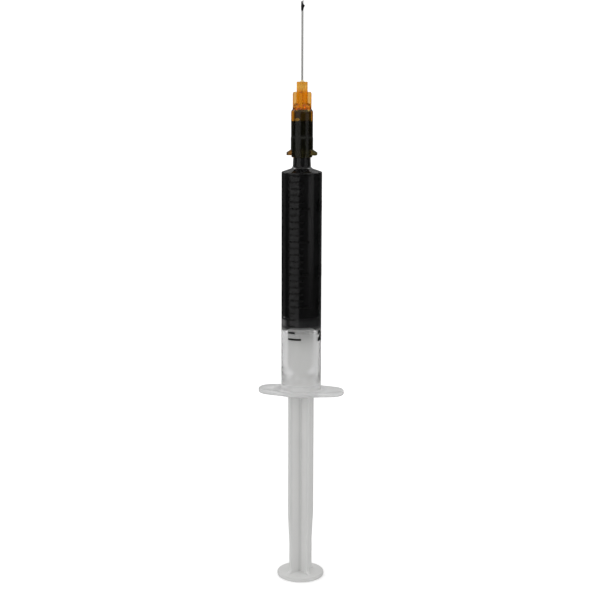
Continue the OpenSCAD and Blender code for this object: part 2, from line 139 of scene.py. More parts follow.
def front_cone_z(radius):
    """Height of the cone that closes the bore at its front."""
    return FRONT_Z + (BORE_R - radius) * SLOPE


# The camera, fitted to the photograph's view: degrees, mm and px
CAMERA_AZIMUTH = 9.0
CAMERA_DISTANCE = 330.6
CAMERA_HEIGHT = 137.6
CAMERA_PITCH = 10.72
CAMERA_ROLL = 0.2
CAMERA_ASIDE = -0.36
FOCAL_PX = 1300.8
IMAGE_PX = 600
SENSOR_MM = 36


# Helpers for profiles and grids
def arc(centre, radius, start, stop, steps=8):
    """Points of an arc about a centre, from one angle in degrees to another, as an (n, 2) array."""
    angle = np.radians(np.linspace(start, stop, steps + 1))
    return np.asarray(centre) + radius * np.column_stack((np.cos(angle), np.sin(angle)))


def path(*parts):
    """Joins points and arcs into one (n, 2) profile of radius and height."""
    return np.vstack([np.atleast_2d(np.asarray(part, float)) for part in parts])


def smooth_max(a, b, width):
    """The larger of a and b, with the corner between them rounded over width."""
    share = np.clip(0.5 + 0.5 * (a - b) / width, 0, 1)
    return b + (a - b) * share + width * share * (1 - share)


def full_turn(count):
    """Angles spaced evenly round the axis."""
    return np.linspace(0, TAU, count, endpoint=False)


def upright(radius, start, stop, count):
    """Points spaced evenly up a straight wall, as an array of radius and height."""
    return np.column_stack((np.full(count, radius), np.linspace(start, stop, count)))


def grid_mesh(points, closed_rows=False, poles=()):
    """Vertices and faces of rings of points, shape (rows, columns, 3). The last row may join the
    first, or the two ends may run to poles."""
    rows, columns = points.shape[:2]
    number = np.arange(rows * columns).reshape(rows, columns)
    if closed_rows:
        number = np.vstack((number, number[:1]))
    after = np.roll(number, -1, axis=1)
    quads = np.stack((number[:-1], after[:-1], after[1:], number[1:]), axis=-1)
    vertices, faces = points.reshape(-1, 3), quads.reshape(-1, 4).tolist()
    if poles:
        vertices = np.vstack((vertices, poles))
        faces += [(b, a, rows * columns) for a, b in zip(number[0], after[0])]
        faces += [(a, b, rows * columns + 1) for a, b in zip(number[-1], after[-1])]
    return vertices, faces


def in_scene(name, data):
    """A new object in the scene."""
    thing = bpy.data.objects.new(name, data)
    bpy.context.scene.collection.objects.link(thing)
    return thing


def final_mesh(thing):
    """A new mesh of what an object's text or modifiers come to."""
    bpy.context.view_layer.update()
    depsgraph = bpy.context.evaluated_depsgraph_get()
    return bpy.data.meshes.new_from_object(thing.evaluated_get(depsgraph))


def piece(name, meshes, sharp_deg=32):
    """One object from (vertices in mm, faces) pairs, smooth but for edges sharper than sharp_deg."""
    mesh = bpy.data.meshes.new(name)
    offset = 0
    all_vertices, all_faces = [], []
    for vertices, faces in meshes:
        all_vertices.append(np.asarray(vertices) * MM)
        all_faces += [tuple(int(k) + offset for k in face) for face in faces]
        offset += len(vertices)
    mesh.from_pydata(np.vstack(all_vertices).tolist(), [], all_faces)
    mesh.update()
    mesh.shade_smooth()
    mesh.set_sharp_from_angle(angle=math.radians(sharp_deg))
    return in_scene(name, mesh)


def polar(radius, angle, height):
    """Points at a radius and an angle round Z, at a height: numbers or arrays of matching shapes."""
    x, y = radius * np.cos(angle), radius * np.sin(angle)
    return np.stack(np.broadcast_arrays(x, y, height), axis=-1)


def rings(profile, angles):
    """Turns an (n, 2) profile of radius and height round Z: one ring of points for each of its points."""
    return polar(profile[:, 0, None], angles, profile[:, 1, None])


def turned(profile, sides=128):
    """A closed solid of revolution. A profile that starts and ends on the axis gets poles there;
    any other is a loop, up its outside and down its inside."""
    angles = full_turn(sides)
    if profile[0, 0] == 0 and profile[-1, 0] == 0:
        ends = [(0, 0, profile[0, 1]), (0, 0, profile[-1, 1])]
        return grid_mesh(rings(profile[1:-1], angles), poles=ends)
    return grid_mesh(rings(profile, angles), closed_rows=True)


# Helpers for materials
def linear(hex_colour):
    """An sRGB hex colour as a linear RGBA tuple."""
    parts = [int(hex_colour[k:k + 2], 16) / 255 for k in (1, 3, 5)]
    return tuple(c / 12.92 if c <= 0.04045 else ((c + 0.055) / 1.055) ** 2.4 for c in parts) + (1.0,)


def add_node(tree, kind, inputs=None, **settings):
    """Adds one node: settings are its properties, and inputs are values, sockets or nodes by input
    name. A node stands for its first output."""
    node = tree.nodes.new(kind)
    for key, value in settings.items():
        setattr(node, key, value)
    for key, value in (inputs or {}).items():
        if isinstance(value, bpy.types.Node):
            value = value.outputs[0]
        if isinstance(value, bpy.types.NodeSocket):
            tree.links.new(value, node.inputs[key])
        else:
            node.inputs[key].default_value = value
    return node


def made(finish):
    """A material of a finish: a function that adds its nodes to a tree, and returns what the output
    node gets."""
    material = bpy.data.materials.new(finish.__name__)
    material.use_nodes = True
    tree = material.node_tree
    tree.nodes.clear()
    add_node(tree, "ShaderNodeOutputMaterial", finish(tree))
    return material


def noise(tree, size_mm, stretch=(1, 1, 1)):
    """A noise pattern whose features are about size_mm across, on Object coordinates."""
    place = add_node(tree, "ShaderNodeTexCoord").outputs["Object"]
    scaled = add_node(tree, "ShaderNodeMapping", {"Vector": place, "Scale": stretch})
    return add_node(tree, "ShaderNodeTexNoise", {
        "Vector": scaled, "Scale": 1 / (size_mm * MM), "Detail": 3.0,
    }).outputs["Fac"]


def uneven(tree, size_mm, start, stop, stretch=(1, 1, 1)):
    """A value that varies between start and stop with a noise pattern, most of which lies between
    0.3 and 0.7."""
    pattern = noise(tree, size_mm, stretch)
    return add_node(tree, "ShaderNodeMapRange", {
        "Value": pattern, "From Min": 0.3, "From Max": 0.7, "To Min": start, "To Max": stop,
    }).outputs["Result"]


def relief(tree, size_mm, height_mm, stretch=(1, 1, 1)):
    """Unevenness of the surface: a noise pattern of size_mm, height_mm high."""
    pattern = noise(tree, size_mm, stretch)
    return add_node(tree, "ShaderNodeBump", {
        "Height": pattern, "Distance": height_mm * MM, "Strength": 1.0,
    }).outputs["Normal"]


def zone(tree, along, start_mm, stop_mm, from_value, to_value, ragged_mm=0):
    """A smooth change from one value to another between two places in mm: along X, along Z, or
    outward from the syringe's axis. A ragged one is pushed to and fro by noise."""
    place = add_node(tree, "ShaderNodeTexCoord").outputs["Object"]
    if along == "outward":
        flat = add_node(tree, "ShaderNodeVectorMath", {0: place, 1: (1, 1, 0)}, operation="MULTIPLY")
        way = add_node(tree, "ShaderNodeVectorMath", {0: flat}, operation="LENGTH").outputs["Value"]
    else:
        way = add_node(tree, "ShaderNodeSeparateXYZ", {0: place}).outputs[along]
    if ragged_mm:
        way = sum_of(tree, all_of(tree, noise(tree, 0.5), ragged_mm * MM), way)
    return add_node(tree, "ShaderNodeMapRange", {
        "Value": way, "From Min": start_mm * MM, "From Max": stop_mm * MM,
        "To Min": from_value, "To Max": to_value,
    }, interpolation_type="SMOOTHSTEP").outputs["Result"]


def layers(tree, colour, *coats):
    """Colours laid one over another. Each coat is a share and the colour that it brings. A colour is
    a hex value or a socket."""
    for share, coat in coats:
        first, second = [linear(c) if isinstance(c, str) else c for c in (colour, coat)]
        colour = add_node(
            tree, "ShaderNodeMix", {"Factor": share, "A": first, "B": second}, data_type="RGBA"
        ).outputs[2]
    return colour


def all_of(tree, *shares):
    """The product of several shares: what holds where all of them do."""
    product = shares[0]
    for share in shares[1:]:
        product = add_node(tree, "ShaderNodeMath", {0: product, 1: share}, operation="MULTIPLY")
    return product


def sum_of(tree, *shares):
    """The sum of several shares."""
    total = shares[0]
    for share in shares[1:]:
        total = add_node(tree, "ShaderNodeMath", {0: total, 1: share})
    return total


def milk(tree, colour):
    """Scattering in cloudy plastic: half of the light comes back and half goes on. The colour is a
    value or a socket."""
    back = add_node(tree, "ShaderNodeBsdfDiffuse", {"Color": colour})
    on = add_node(tree, "ShaderNodeBsdfTranslucent", {"Color": colour})
    return add_node(tree, "ShaderNodeMixShader", {0: 0.5, 1: back, 2: on})


PLASTIC_IOR = 1.49


def clear_polypropylene(tree):
    """Injection-moulded clear polypropylene, glossy and a little wavy. Where epoxy wets the bore it
    is clear to the black behind it. The face of the dry bore is milky, and so is the thick flange.
    Painted shade darkens the flange along its rim edges."""
    clear = add_node(tree, "ShaderNodeBsdfPrincipled", {
        "Base Color": linear("#FEFEFE"),
        "Transmission Weight": 1.0,
        "IOR": PLASTIC_IOR,
        "Roughness": zone(tree, "Z", ROD_LEN - 2.0, ROD_LEN - 0.4, 0.18, 0.12),
        "Normal": relief(tree, 2.2, 0.003, stretch=(1, 1, 0.12)),
    })
    # rim is painted shade: near the flange's rim edges it darkens the milky colour and adds milk
    rim = add_node(tree, "ShaderNodeAttribute", attribute_name="rim").outputs["Fac"]
    milky = milk(tree, layers(tree, "#FBFBFB", (rim, "#909090")))
    dry_bore = all_of(
        tree, zone(tree, "Z", ROD_LEN - 2.0, ROD_LEN - 0.3, 1, 0),
        zone(tree, "outward", BORE_R + 0.15, BORE_R + 0.55, 0.3, 0),
    )
    flange = zone(tree, "Z", FLANGE_TOP_Z + 0.5, FLANGE_TOP_Z + 5.5, 0.3, 0)
    wings = zone(tree, "outward", BARREL_R + 0.35, BARREL_R + 2.35, 0, 0.15)
    # the last term adds the rim's painted shade to the milk share
    share = sum_of(tree, dry_bore, flange, wings, all_of(tree, rim, 0.35))
    mixed = add_node(tree, "ShaderNodeMixShader", {0: share, 1: clear, 2: milky})
    return {"Surface": mixed}


def natural_polypropylene(tree):
    """Undyed polypropylene, thick enough to be cloudy: soft sheen, light passes and scatters. Painted
    shade darkens the thumb disc's rim, the fins' edges and the valleys between the fins. Painted
    light makes the stretch inside the barrel paler, and painted shade darkens it towards the
    stopper. Its front end is darker still, partly stained by epoxy and partly painted shade under
    the stopper."""
    cloud = noise(tree, 3.0, stretch=(1, 1, 0.25))
    # Painted shade: the thumb disc darkens towards its rim
    disc = layers(tree, "#EBEBEA", (zone(tree, "outward", THUMB_R - 0.4, THUMB_R - 0.05, 0, 1), "#DCDCDB"))
    # Painted shade along the fins' outer edges, above the disc
    fin_edge_shade = all_of(
        tree, zone(tree, "outward", 2.7, 3.7, 0, 1),
        zone(tree, "Z", THUMB_EDGE_Z, THUMB_EDGE_Z + 2, 0, 1),
    )
    # Painted shade: the rod darkens over its last few mm towards the stopper
    shade_near_stopper = zone(tree, "Z", ROD_LEN - 6.5, ROD_LEN - 0.9, 0, 1)
    # Painted light: the stretch inside the barrel is made paler than the rest of the rod
    inside = layers(tree, "#F6F6F5", (cloud, "#FDFDFC"), (shade_near_stopper, "#D8D8D7"))
    colour = layers(
        tree, "#E2E2E1",
        (cloud, "#E9E9E8"),
        (zone(tree, "Z", THUMB_EDGE_Z, THUMB_EDGE_Z + 3, 1, 0), disc),
        # painted shade on the fins' edges
        (fin_edge_shade, "#DDDDDC"),
        # painted shade in the valleys between the fins, near the axis
        (zone(tree, "outward", 0.9, 1.4, 1, 0), "#DADAD9"),
        # the paler painted-light colour inside the barrel
        (zone(tree, "Z", BARREL_Z - 0.5, BARREL_Z + 3.5, 0, 1), inside),
        # the front end's dark band: partly an epoxy stain, partly painted shade under the stopper
        (zone(tree, "Z", ROD_LEN - 0.85, ROD_LEN - 0.45, 0, 1), "#6E6E6D"),
    )
    front = add_node(tree, "ShaderNodeBsdfPrincipled", {
        "Base Color": colour,
        "Roughness": uneven(tree, 3.0, 0.4, 0.55, stretch=(1, 1, 0.25)),
        "Specular IOR Level": 0.3,
        "Normal": relief(tree, 0.25, 0.004),
    })
    through = add_node(tree, "ShaderNodeBsdfTranslucent", {"Color": colour})
    mixed = add_node(tree, "ShaderNodeMixShader", {0: 0.45, 1: front, 2: through})
    return {"Surface": mixed}


def amber_polypropylene(tree):
    """Amber polypropylene, clear but deeply dyed: thin ribs look pale tan, thick walls orange, and
    the stem is cloudy, most where the adhesive sits. The lugs are smeared with a film of epoxy."""
    outer = zone(tree, "outward", 1.0, 1.2, 0, 1)
    body = zone(tree, "Z", HUB_BODY_END_Z - 0.6, HUB_BODY_END_Z + 0.2, 1, 0)
    lug_band = zone(tree, "Z", LUG_END_Z, LUG_END_Z + 0.4, 1, 0)
    glue = all_of(
        tree, zone(tree, "Z", HUB_END_Z - 2.9, HUB_END_Z - 1.5, 0, 1),
        zone(tree, "Z", HUB_END_Z - 1.1, HUB_END_Z - 0.2, 1, 0.4),
    )
    stem_tint = layers(tree, "#C8A866", (glue, "#EFD9A8"))
    body_tint = layers(tree, "#B2D874", (zone(tree, "X", 0.8, 2.4, 0, 1), "#B8E4B0"))
    tint = layers(tree, "#FFFFFF", (outer, stem_tint), (body, body_tint), (lug_band, "#8F8F60"))
    clear = add_node(tree, "ShaderNodeBsdfPrincipled", {
        "Base Color": tint,
        "Transmission Weight": 1.0,
        "IOR": PLASTIC_IOR,
        "Roughness": uneven(tree, 1.0, 0.1, 0.18),
    })
    # The stem and the ribs' outer faces are cloudy all over, and the dome below them in part
    cloudy_faces = sum_of(
        tree, zone(tree, "outward", STEM_R + 0.04, STEM_R + 0.17, 1, 0),
        zone(tree, "outward", STEM_RIB_R - 0.18, STEM_RIB_R - 0.05, 0, 1),
        zone(tree, "Z", HUB_BODY_END_Z + 1.3, HUB_BODY_END_Z + 1.5, 0.45, 0),
    )
    cloudy_faces.use_clamp = True
    cloudy = all_of(
        tree, outer, cloudy_faces,
        zone(tree, "Z", HUB_BODY_END_Z - 0.2, HUB_BODY_END_Z + 0.9, 0, 0.58),
        zone(tree, "Z", HUB_END_Z - 2.7, HUB_END_Z - 1.6, 1, 0.9),
    )
    # The lugs' dark film is heavier towards +X, so the lugs are darker on that side
    smear = all_of(
        tree, zone(tree, "outward", HUB_R + 0.08, HUB_R + 0.19, 0.25, 1), lug_band,
        zone(tree, "X", -3.4, 2.6, 0.22, 0.75),
    )
    cloud = milk(tree, layers(tree, "#FFB610", (glue, "#FFDA60")))
    clouded = add_node(tree, "ShaderNodeMixShader", {0: cloudy, 1: clear, 2: cloud})
    film = milk(tree, linear("#565530"))
    smeared = add_node(tree, "ShaderNodeMixShader", {0: smear, 1: clouded, 2: film})
    dye = {"Color": linear("#FCD579"), "Density": 1000.0}
    depth = add_node(tree, "ShaderNodeVolumeAbsorption", dye)
    return {"Surface": smeared, "Volume": depth}


def black_epoxy(tree):
    """Thick black epoxy that wets the plastic round it, so it has no gloss of its own there. In the
    hub's cavity it looks brownish."""
    in_hub = zone(tree, "Z", SOCKET_END_Z - 0.1, SOCKET_END_Z + 0.4, 0, 1)
    shade = layers(tree, "#060607", (noise(tree, 2.5), "#0C0C0D"), (in_hub, "#4C463C"))
    return {"Surface": add_node(tree, "ShaderNodeBsdfPrincipled", {
        "Base Color": shade, "Roughness": 0.35, "Specular IOR Level": 0.04,
    })}


def dark_rubber(tree):
    """Moulded dark grey rubber, matt, with a fine bloom. Painted light makes its rear rib paler on
    the left. From the groove on it is wet with epoxy and nearly black."""
    # Painted light: the low part of the rear rib is made paler on its left side
    painted_light_left = all_of(
        tree, zone(tree, "X", -4.3, -2.7, 1, 0),
        zone(tree, "Z", ROD_LEN + 1.2, ROD_LEN + 2.2, 1, 0),
    )
    wet = zone(tree, "Z", ROD_LEN + 1.2, ROD_LEN + 2.3, 0, 1)
    shade = layers(tree, "#1D1D1E", (noise(tree, 0.8), "#2A2A2B"), (painted_light_left, "#8A8A89"), (wet, "#101011"))
    return {"Surface": add_node(tree, "ShaderNodeBsdfPrincipled", {
        "Base Color": shade,
        "Roughness": 0.6,
        "Specular IOR Level": 0.1,
        "Normal": relief(tree, 0.8, 0.01),
    })}


def black_ink(tree):
    """Black pad-printed ink with a low sheen."""
    return {"Surface": add_node(tree, "ShaderNodeBsdfPrincipled", {
        "Base Color": linear("#070707"),
        "Specular IOR Level": 0.2,
        "Roughness": uneven(tree, 0.3, 0.25, 0.35),
        "Normal": relief(tree, 0.3, 0.001),
    })}


def stainless_steel(tree):
    """Drawn stainless tube: bright, with lines along its length, coarser than real ones so that
    they show."""
    along = (1, 1, 0.05)
    return {"Surface": add_node(tree, "ShaderNodeBsdfPrincipled", {
        "Base Color": linear("#D4D3D0"),
        "Metallic": 0.7,
        "Roughness": uneven(tree, 0.12, 0.22, 0.36, stretch=along),
        "Normal": relief(tree, 0.12, 0.002, stretch=along),
    })}


def clear_adhesive(tree):
    """Cured adhesive, cloudy yellow: it hides the cannula behind it."""
    shader = add_node(tree, "ShaderNodeBsdfPrincipled", {
        "Base Color": linear("#FBE08A"),
        "Transmission Weight": 0.5,
        "IOR": PLASTIC_IOR,
        "Roughness": uneven(tree, 0.5, 0.15, 0.3),
        "Normal": relief(tree, 0.5, 0.008),
    })
    cloud = milk(tree, linear("#FFF0BE"))
    mixed = add_node(tree, "ShaderNodeMixShader", {0: 0.6, 1: shader, 2: cloud})
    return {"Surface": mixed}


def dried_epoxy(tree):
    """Black epoxy cured in the air: lumpy, half matt, with small glossy spots."""
    return {"Surface": add_node(tree, "ShaderNodeBsdfPrincipled", {
        "Base Color": linear("#0D0D0E"),
        "Roughness": uneven(tree, 0.25, 0.25, 0.6),
        "Normal": relief(tree, 0.25, 0.03),
    })}


def bubble_painted_reflection(tree):
    """The skin of a trapped bubble, pale and soft: a painted reflection, so that the amber in front
    of it glows.
    """
    shade = layers(tree, "#B8A88C", (uneven(tree, 0.3, 0, 1), "#FFF6E4"))
    return {"Surface": add_node(tree, "ShaderNodeBsdfPrincipled", {"Base Color": shade, "Roughness": 0.5})}


def painted_shade_film(tree):
    """Painted shade: a dark sheet on the bore below the rear rib, black at the rib, grey on the
    left and where it runs out, in a ragged edge."""
    left = zone(tree, "X", -4.3, -3.0, 1, 0)
    run_out = zone(tree, "Z", ROD_LEN - 0.75, ROD_LEN - 0.2, 1, 0, ragged_mm=0.5)
    shade = layers(tree, "#1A1A1B", (left, "#666665"), (run_out, "#8C8C8B"))
    return {"Surface": add_node(tree, "ShaderNodeBsdfPrincipled", {"Base Color": shade, "Roughness": 0.5})}


CLEAR = made(clear_polypropylene)
NATURAL = made(natural_polypropylene)
AMBER = made(amber_polypropylene)
EPOXY = made(black_epoxy)
RUBBER = made(dark_rubber)
INK = made(black_ink)
STEEL = made(stainless_steel)
ADHESIVE = made(clear_adhesive)
DRIED = made(dried_epoxy)
BUBBLE_REFLECTION = made(bubble_painted_reflection)
SHADE_FILM = made(painted_shade_film)


def dress(thing, material, body, slot, *nodes):
    """Gives a piece its material and body, and hides the CAD nodes that it stands for. The slot is not
    used.
    """
    thing.data.materials.append(material)
    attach(thing, body)
    if nodes:
        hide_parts(*nodes)


# The barrel
WING_TIP_X = FLANGE_TIP_X - WING_TIP_R
WING_SIDE_R = WING_TIP_X ** 2 + WING_HALF_W ** 2 - WING_TIP_R ** 2
WING_SIDE_R /= 2 * (WING_HALF_W - WING_TIP_R)
WING_EDGE_R = 0.45
COLLAR_EDGE_R = 0.25
COLLAR_BLEND = 0.9
FLANGE_FILLET_R = 0.6
OUTLINE_POINTS = 360


def wing_reach(angle):
    """Distance from the axis to the wings' edge at an angle: the ray meets a round tip near X,
    and past the tip's end one of two wide arcs whose centres lie on Y."""
    across, along = np.abs(np.sin(angle)), np.abs(np.cos(angle))
    side_y = WING_SIDE_R - WING_HALF_W
    tip_root = np.maximum(WING_TIP_R ** 2 - (WING_TIP_X * across) ** 2, 0)
    tip = WING_TIP_X * along + np.sqrt(tip_root)
    side = np.sqrt((across * side_y) ** 2 + WING_SIDE_R ** 2 - side_y ** 2) - across * side_y
    turn = math.atan2(WING_TIP_X, side_y)
    meet_x = WING_TIP_X + WING_TIP_R * math.sin(turn)
    meet_y = WING_TIP_R * math.cos(turn)
    return np.where(np.arctan2(across, along) < math.atan2(meet_y, meet_x), tip, side)


def flange_outline():
    """Outline of wings and collar as points, outward normals and polar angles, spaced evenly."""
    fine_points = 14400
    angle = full_turn(fine_points)
    reach = smooth_max(wing_reach(angle), COLLAR_R, COLLAR_BLEND)
    reach = np.minimum(reach, FLANGE_TIP_X)
    closed = np.append(angle, TAU)
    xy = np.column_stack((reach * np.cos(angle), reach * np.sin(angle)))
    step = np.linalg.norm(np.roll(xy, -1, axis=0) - xy, axis=1)
    length = np.append(0, np.cumsum(step))
    even = np.linspace(0, length[-1], OUTLINE_POINTS, endpoint=False)
    chosen = np.interp(even, length, closed)
    points = np.column_stack([
        np.interp(chosen, closed, np.append(xy[:, k], xy[0, k])) for k in (0, 1)
    ])
    tangent = np.roll(points, -1, axis=0) - np.roll(points, 1, axis=0)
    tangent /= np.linalg.norm(tangent, axis=1)[:, None]
    normals = np.column_stack((tangent[:, 1], -tangent[:, 0]))
    return points, normals, np.arctan2(points[:, 1], points[:, 0])


def make_barrel():
    """The barrel as one closed loop of rings: out along the flange's underside, round its rim,
    back to the tube over a fillet, up to the luer tip, and down the bore."""
    outline, normals, angles = flange_outline()
    distance = np.linalg.norm(outline, axis=1)
    wing_share = np.clip((distance - COLLAR_R) / 1.5, 0, 1)
    edge = COLLAR_EDGE_R + (WING_EDGE_R - COLLAR_EDGE_R) * wing_share

    def rim_ring(turn):
        """One ring of the rounded rim: turn is -90 at the underside and 90 at the top face."""
        inset = edge * (1 - math.cos(math.radians(turn)))
        xy = outline - normals * inset[:, None]
        middle = BARREL_Z + edge if turn < 0 else FLANGE_TOP_Z - edge
        return np.column_stack((xy, middle + edge * math.sin(math.radians(turn))))

    turns = (-90, -67, -45, -22, -1, 1, 22, 45, 67, 90)
    rim = [rim_ring(turn) for turn in turns]
    top_reach = np.linalg.norm(rim[-1][:, :2], axis=1)
    fillet = np.clip(top_reach - BARREL_R, 0.06, FLANGE_FILLET_R)

    def fillet_ring(turn):
        """One ring of the fillet: turn is 0 on the flange's face and 90 on the tube."""
        radius = BARREL_R + fillet * (1 - math.sin(math.radians(turn)))
        height = FLANGE_TOP_Z + fillet * (1 - math.cos(math.radians(turn)))
        return polar(radius, angles, height)

    tube_bottom_z = FLANGE_TOP_Z + FLANGE_FILLET_R
    edge_r = 0.25
    slope_deg = math.degrees(math.atan(SLOPE))
    corner_r = luer_r(SHOULDER_Z + 0.8)
    corner_z = SHOULDER_Z + (BARREL_R - corner_r) * SLOPE
    neck_fillet = 0.95
    fillet_rise = neck_fillet * math.tan(math.radians((90 - slope_deg) / 2))
    fillet_centre = (corner_r + neck_fillet, corner_z + fillet_rise)
    tip_edge = 0.12
    bore_edge = 0.15
    cone_edge_r = luer_bore_r(COLUMN_TOP_Z) + bore_edge
    keeper_z, keeper_h, keeper_r = BARREL_Z + 2.6, 0.15, 0.3
    outside = path(
        upright(BARREL_R, tube_bottom_z + 0.2, SHOULDER_Z - edge_r, 9),
        arc((BARREL_R - edge_r, SHOULDER_Z - edge_r), edge_r, 12, 90 - slope_deg, 5),
        arc(fillet_centre, neck_fillet, 270 - slope_deg, 180, 8),
        (LUER_TIP_R + 2.0 * LUER_TAPER, LUER_END_Z - 2.0),
        arc((LUER_TIP_R - tip_edge, LUER_END_Z - tip_edge), tip_edge, 0, 90, 4),
        arc((LUER_BORE_R + tip_edge, LUER_END_Z - tip_edge), tip_edge, 90, 180, 4),
        (luer_bore_r(COLUMN_TOP_Z), COLUMN_TOP_Z + bore_edge),
        (cone_edge_r, front_cone_z(cone_edge_r)),
        (BORE_R - bore_edge, front_cone_z(BORE_R - bore_edge)),
        arc((BORE_R - bore_edge, FRONT_Z - bore_edge), bore_edge, 72, 0, 3),
        upright(BORE_R, FRONT_Z - 1.0, keeper_z + 0.5, 7),
        arc((BORE_R + keeper_r, keeper_z), keeper_r + keeper_h, 150, 210, 6),
        (BORE_R, keeper_z - 0.5),
        (BORE_R, BARREL_Z + 0.4),
        (BORE_R + 0.1, BARREL_Z + 0.12),
        (BORE_R + 0.3, BARREL_Z),
    )
    loop = rim + [fillet_ring(turn) for turn in (0, 15, 30, 45, 60, 75, 90)]
    loop += list(rings(outside, angles))
    thing = piece("barrel_shell", [grid_mesh(np.array(loop), closed_rows=True)], 40)
    # How much painted shade a point of the rim gets, to darken the plastic near the rim's edges:
    # all round on the underside, and at the top on the far side only
    rim_painted_shade = np.zeros((len(loop), OUTLINE_POINTS))
    far_side = np.clip(outline[:, 1] / 2, 0, 1)
    rim_painted_shade[:5] = np.array([0.3, 0.6, 0.6, 0.45, 0.2])[:, None]
    rim_painted_shade[5:9] = np.array([0.2, 0.6, 0.9, 0.8])[:, None] * far_side
    thing.data.attributes.new("rim", "FLOAT", "POINT").data.foreach_set("value", rim_painted_shade.ravel())
    dress(thing, CLEAR, "barrel", "clear_polypropylene", "barrel")


make_barrel()


# The epoxy inside
NOSE_FLAT_R = luer_bore_r(COLUMN_TOP_Z) + 0.1
WET = 0.012  # how far the epoxy reaches into the walls it wets, so that no film of air shows


def make_epoxy_column():
    """The epoxy in the bore. All its points lie at its two ends, so it stays straight between a
    moving stopper and the fixed front cone."""
    root_r = luer_bore_r(COLUMN_TOP_Z)
    nose_z = RIB_EDGE_Z + (BORE_R - NOSE_FLAT_R) * SLOPE
    profile = path(
        (0, nose_z + 0.03),
        (NOSE_FLAT_R, nose_z + 0.03),
        (BORE_R - 0.05, RIB_EDGE_Z + 0.03),
        (BORE_R + WET, RIB_EDGE_Z - 0.05),
        (BORE_R + WET, FRONT_Z - 0.06),
        (BORE_R - 0.08, front_cone_z(BORE_R - 0.08) + WET),
        (root_r + WET, front_cone_z(root_r) + WET),
        (0, COLUMN_TOP_Z + WET),
    )
    thing = piece("epoxy_fill", [turned(profile, 160)])
    thing.data.materials.append(EPOXY)
    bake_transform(thing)
    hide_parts("epoxy_column")


def make_tip_epoxy():
    """The epoxy in the luer tip's bore: a slim cone that narrows upward."""
    profile = path(
        (0, COLUMN_TOP_Z), (luer_bore_r(COLUMN_TOP_Z) + WET, COLUMN_TOP_Z),
        (LUER_BORE_R + WET, LUER_END_Z - 0.05), (0, LUER_END_Z - 0.02),
    )
    dress(piece("epoxy_in_tip", [turned(profile, 96)]), EPOXY, "barrel", "black_epoxy", "tip_epoxy")


make_epoxy_column()
make_tip_epoxy()


# The stopper
def make_stopper():
    """Rubber stopper: two ribs with rounded edges, a groove, a conical nose and the stud's socket."""
    seal_r, groove_r, soft, groove_soft = BORE_R + WET, BORE_R - 0.45, 0.06, 0.2
    rear_end, front_start = ROD_LEN + REAR_RIB_LEN, RIB_EDGE_Z - 1.2
    nose_z = RIB_EDGE_Z + (seal_r - NOSE_FLAT_R) * SLOPE
    profile = path(
        (1.35, ROD_LEN),
        arc((seal_r - soft, ROD_LEN + soft), soft, -90, 0, 4),
        arc((seal_r - soft, rear_end - soft), soft, 0, 60, 4),
        arc((groove_r + groove_soft, rear_end + 0.5), groove_soft, 240, 180, 3),
        arc((groove_r + groove_soft, front_start - 0.5), groove_soft, 180, 120, 3),
        arc((seal_r - soft, front_start + soft), soft, -60, 0, 4),
        arc((seal_r - soft, RIB_EDGE_Z - soft), soft, 0, 72, 4),
        (NOSE_FLAT_R, nose_z),
        (0.4, nose_z + 0.005),
        (0.4, ROD_LEN + 3.2),
        (1.0, ROD_LEN + 3.1),
        (2.05, ROD_LEN + 1.95),
        (2.05, ROD_LEN + 1.35),
        (1.35, ROD_LEN + 1.35),
    )
    thing = piece("stopper_rubber", [turned(profile, 128)])
    dress(thing, RUBBER, "stopper", "dark_rubber", "rubber_stopper")


def make_groove_epoxy():
    """Epoxy that has crept past the front rib into the groove. It wets the wall but for a few
    bubbles on the right, where its radius dips."""
    angles = full_turn(240)
    heights = np.linspace(ROD_LEN + REAR_RIB_LEN, RIB_EDGE_Z - 0.15, 24)
    turn, height = np.meshgrid(angles, heights)
    waves = np.sin(23 * turn + 3 * height) * np.sin(14 * turn - 6 * height + 1) * np.sin(7 * height)
    near_right = np.exp(-((turn - TAU * 0.98) / 0.35) ** 2)
    near_right *= np.exp(-(np.maximum(height - ROD_LEN - 3.2, 0) / 0.5) ** 2)
    dip = 0.03
    radius = BORE_R + WET - dip * np.clip(9 * waves * near_right - 5, 0, 1)
    outer = polar(radius, turn, height)
    inner_r = np.full(2, BORE_R - 0.44)  # inside the ribs' rubber at its top end
    inner = rings(np.column_stack((inner_r, heights[[-1, 0]])), angles)
    thing = piece("epoxy_in_groove", [grid_mesh(np.concatenate((outer, inner)), closed_rows=True)])
    dress(thing, EPOXY, "stopper", "black_epoxy")


def make_shade_sheet():
    """A thin dark sheet on the wall below the rear rib, which carries painted shade. It reaches lowest
    at the two sides.
    """
    angles = full_turn(160)
    from_camera = np.abs((np.degrees(angles) - CAMERA_AZIMUTH + 90 + 180) % 360 - 180)
    to_side = np.minimum(from_camera, 180 - from_camera)
    share = np.clip((to_side - 28) / 36, 0, 1)
    reach = 0.1 + 1.15 * share ** 2 * (3 - 2 * share)
    loops = []
    for radius in (BORE_R + WET - 0.002, BORE_R - 0.02):
        for step in (np.linspace(0, 1, 6) if radius > BORE_R else (1, 0)):
            height = ROD_LEN - reach * (1 - step) + 0.25 * step
            loops.append(polar(radius, angles, height))
    film = piece("film_behind_rib", [grid_mesh(np.array(loops), closed_rows=True)])
    dress(film, SHADE_FILM, "stopper", "black_epoxy")
    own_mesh(film)


make_stopper()
make_groove_epoxy()
make_shade_sheet()


# The plunger rod
FIN_R, FIN_T, FIN_FOOT_R = 3.9, 1.0, 3.45
THUMB_T = 1.1


